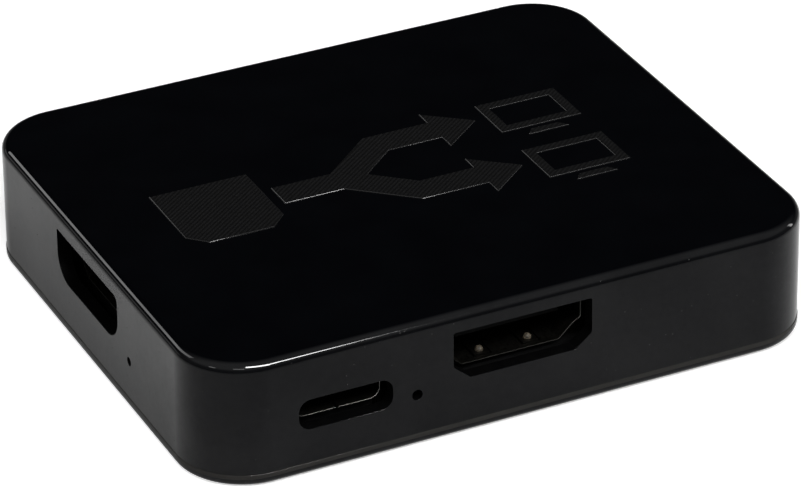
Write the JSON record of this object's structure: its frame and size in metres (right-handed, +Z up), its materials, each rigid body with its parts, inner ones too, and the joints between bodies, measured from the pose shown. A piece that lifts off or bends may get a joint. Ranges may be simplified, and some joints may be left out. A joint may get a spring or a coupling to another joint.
{
  "type": "video splitter",
  "caption": "Pocket video splitter in a low rounded gloss black case: one video input and an oval power socket in front, video outputs on the sides.",
  "frame": {"origin": "middle of the case's underside, on the surface it stands on", "axes": "+X to the right along the front face, +Y from the front face to the bare back, +Z up; the input and power sockets face -Y, the first output faces -X and the second +X"},
  "size_m": [0.066, 0.0558, 0.0131],
  "materials": {
    "gloss_case": "gloss moulded black plastic",
    "screw_steel": "black oxide steel",
    "board_laminate": "black solder mask over glass laminate",
    "nickel_shell": "nickel plated sheet steel",
    "socket_insulator": "black moulded insulator",
    "gold_contacts": "gold plated copper alloy",
    "light_lens": "milky lens",
    "chip_epoxy": "black moulding compound",
    "tinned_leads": "tinned copper alloy",
    "ferrite": "dark sintered ferrite",
    "can_aluminium": "drawn aluminium",
    "can_steel": "drawn steel",
    "capacitor_ceramic": "tan ceramic with tinned ends",
    "resistor_black": "black glaze with tinned ends"
  },
  "bodies": {
    "root": {"top_shell": "gloss_case", "bottom_cover": "gloss_case", "cover_screws": "screw_steel", "circuit_board": "board_laminate", "splitter_chip": "chip_epoxy", "splitter_chip_leads": "tinned_leads", "memory_chip": "chip_epoxy", "voltage_regulator": "chip_epoxy", "power_inductor": "ferrite", "bulk_capacitor": "can_aluminium", "crystal": "can_steel", "chip_capacitors": "capacitor_ceramic", "chip_resistors": "resistor_black", "surge_arrays": "chip_epoxy", "power_light": "light_lens", "output_1_light": "light_lens", "output_2_light": "light_lens", "input_socket_shell": "nickel_shell", "input_socket_housing": "socket_insulator", "input_socket_contacts": "gold_contacts", "output_1_socket_shell": "nickel_shell", "output_1_socket_housing": "socket_insulator", "output_1_socket_contacts": "gold_contacts", "output_2_socket_shell": "nickel_shell", "output_2_socket_housing": "socket_insulator", "output_2_socket_contacts": "gold_contacts", "power_socket_shell": "nickel_shell", "power_socket_housing": "socket_insulator", "power_socket_contacts": "gold_contacts"}
  },
  "joints": []
}
